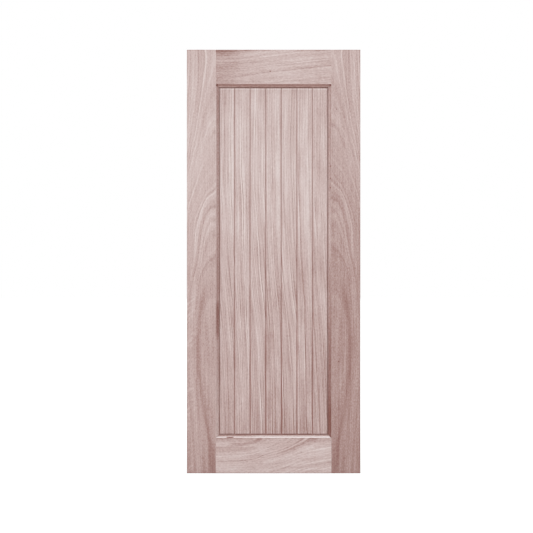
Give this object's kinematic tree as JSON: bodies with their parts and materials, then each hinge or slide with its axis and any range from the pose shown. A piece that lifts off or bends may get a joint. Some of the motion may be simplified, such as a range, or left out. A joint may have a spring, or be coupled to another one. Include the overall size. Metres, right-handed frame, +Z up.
{
  "type": "exterior door leaf",
  "caption": "Framed hardwood exterior door leaf: stiles and rails with wedged through-tenons around a recessed panel of vertical V-jointed boards held by mitred scooped beads.",
  "frame": {"origin": "foot of the hinge edge, in the middle of the leaf's thickness, at ground level", "axes": "+X across the leaf from the hinge edge to the lock edge, +Z up, -Y out of the outside face"},
  "size_m": [0.86, 0.04, 2.1],
  "materials": {
    "frame_wood": "planed and sanded, bare",
    "board_wood": "planed and sanded, bare",
    "bead_wood": "moulded and sanded, bare",
    "wedge_wood": "sawn, end grain"
  },
  "bodies": {
    "root": {"bottom_hinge_wedge_lower": "wedge_wood", "bottom_hinge_wedge_upper": "wedge_wood", "bottom_lock_wedge_lower": "wedge_wood", "bottom_lock_wedge_upper": "wedge_wood", "bottom_rail": "frame_wood", "hinge_stile": "frame_wood", "inside_bead_bottom": "bead_wood", "inside_bead_hinge_side": "bead_wood", "inside_bead_lock_side": "bead_wood", "inside_bead_top": "bead_wood", "lock_stile": "frame_wood", "outside_bead_bottom": "bead_wood", "outside_bead_hinge_side": "bead_wood", "outside_bead_lock_side": "bead_wood", "outside_bead_top": "bead_wood", "panel_board_1": "board_wood", "panel_board_2": "board_wood", "panel_board_3": "board_wood", "panel_board_4": "board_wood", "panel_board_5": "board_wood", "panel_board_6": "board_wood", "panel_board_7": "board_wood", "top_hinge_wedge_lower": "wedge_wood", "top_hinge_wedge_upper": "wedge_wood", "top_lock_wedge_lower": "wedge_wood", "top_lock_wedge_upper": "wedge_wood", "top_rail": "frame_wood"}
  },
  "joints": []
}
